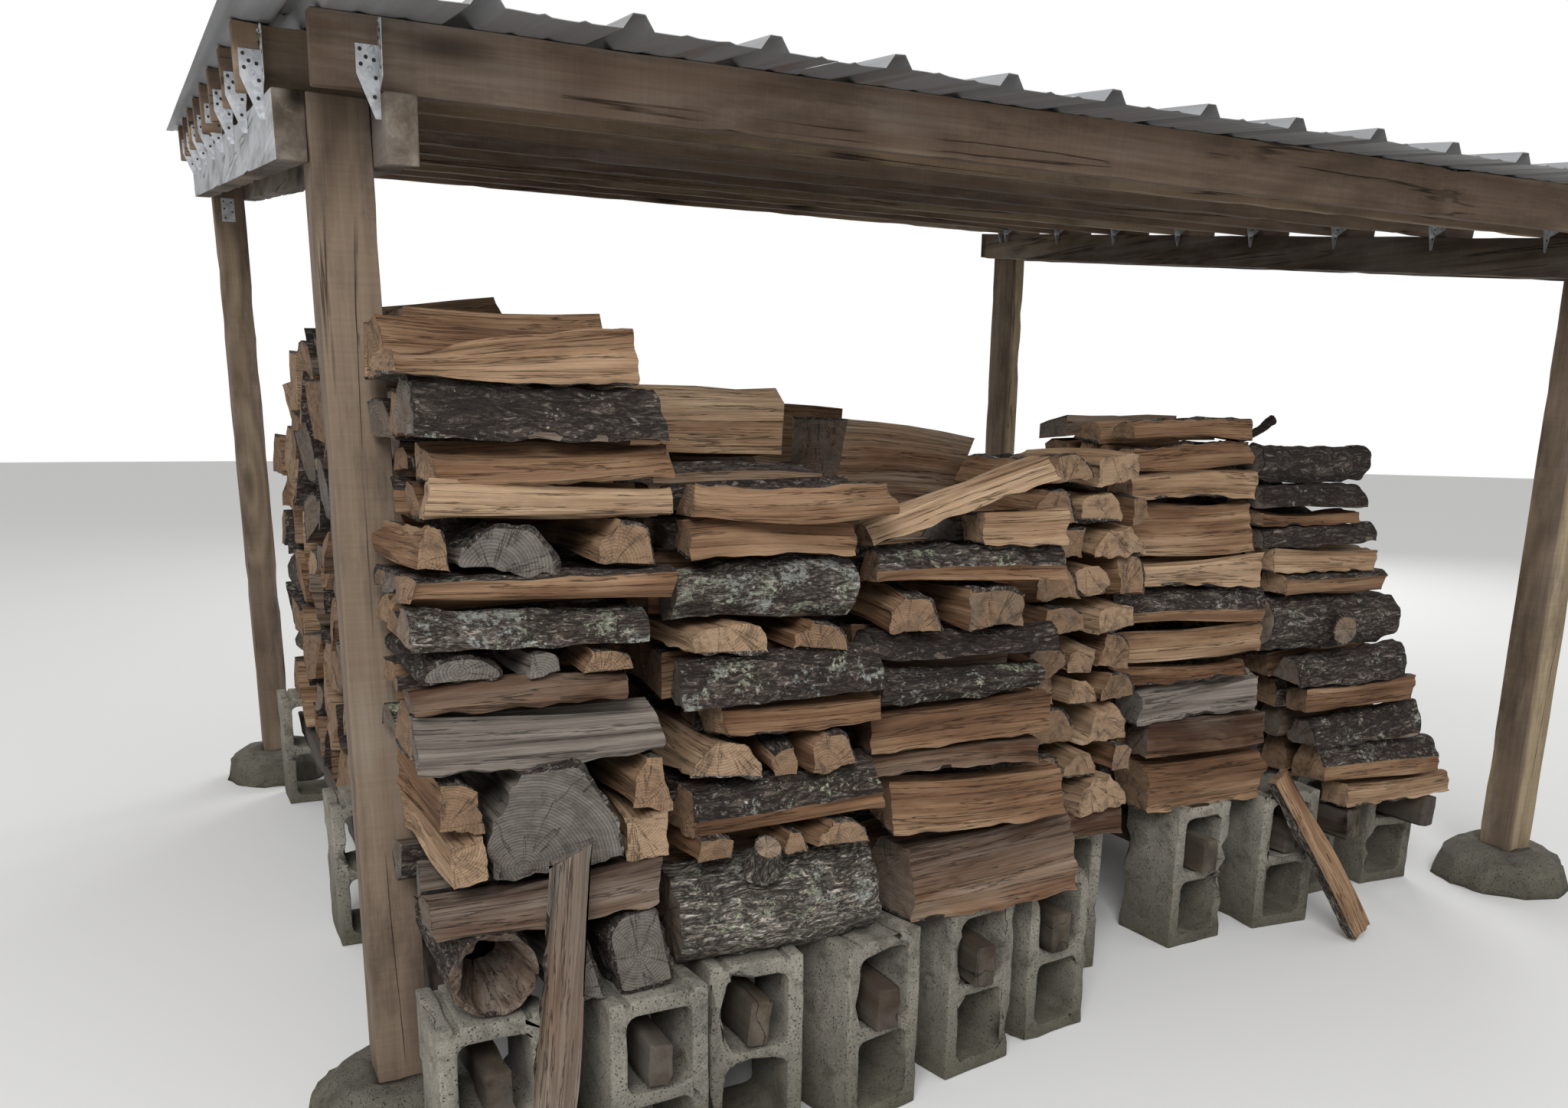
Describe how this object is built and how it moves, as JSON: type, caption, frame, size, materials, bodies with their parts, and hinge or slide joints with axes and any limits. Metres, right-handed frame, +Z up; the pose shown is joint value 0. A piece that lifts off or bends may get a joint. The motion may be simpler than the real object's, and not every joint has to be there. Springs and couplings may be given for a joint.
{
  "type": "open-fronted log store",
  "caption": "Open-fronted timber log store with a sloping ribbed steel roof, and rows of split firewood on racks of concrete blocks and timber runners.",
  "frame": {"origin": "on the ground, in the middle of the store's plan", "axes": "+X to the right along the front, +Y to the back, +Z up"},
  "size_m": [3.8111, 3.5294, 2.4121],
  "materials": {
    "post_wood": "rough",
    "beam_wood": "rough",
    "joist_wood": "rough",
    "tie_steel": "satin",
    "roof_steel": "satin",
    "footing_concrete": "matte",
    "block_concrete": "matte",
    "runner_wood": "rough",
    "split_wood": "rough"
  },
  "bodies": {
    "root": {"post_front_left": "post_wood", "footing_front_left": "footing_concrete", "post_rear_left": "post_wood", "footing_rear_left": "footing_concrete", "post_front_right": "post_wood", "footing_front_right": "footing_concrete", "post_rear_right": "post_wood", "footing_rear_right": "footing_concrete", "end_beam_left_inner": "beam_wood", "end_beam_left_outer": "beam_wood", "end_beam_right_inner": "beam_wood", "end_beam_right_outer": "beam_wood", "joist_1": "joist_wood", "joist_2": "joist_wood", "joist_3": "joist_wood", "joist_4": "joist_wood", "joist_5": "joist_wood", "joist_6": "joist_wood", "joist_7": "joist_wood", "joist_8": "joist_wood", "joist_9": "joist_wood", "ties_left": "tie_steel", "ties_right": "tie_steel", "roof_sheet_1": "roof_steel", "roof_sheet_2": "roof_steel", "roof_sheet_3": "roof_steel", "roof_sheet_4": "roof_steel", "blocks_front": "block_concrete", "blocks_middle": "block_concrete", "blocks_rear": "block_concrete", "runners": "runner_wood", "front_stack_1": "split_wood", "front_stack_2": "split_wood", "front_stack_3": "split_wood", "front_stack_4": "split_wood", "front_stack_5": "split_wood", "front_stack_6": "split_wood", "firewood_row_1": "split_wood", "firewood_row_2": "split_wood", "firewood_row_3": "split_wood", "firewood_row_4": "split_wood", "firewood_row_5": "split_wood", "loose_logs": "split_wood"}
  },
  "joints": []
}
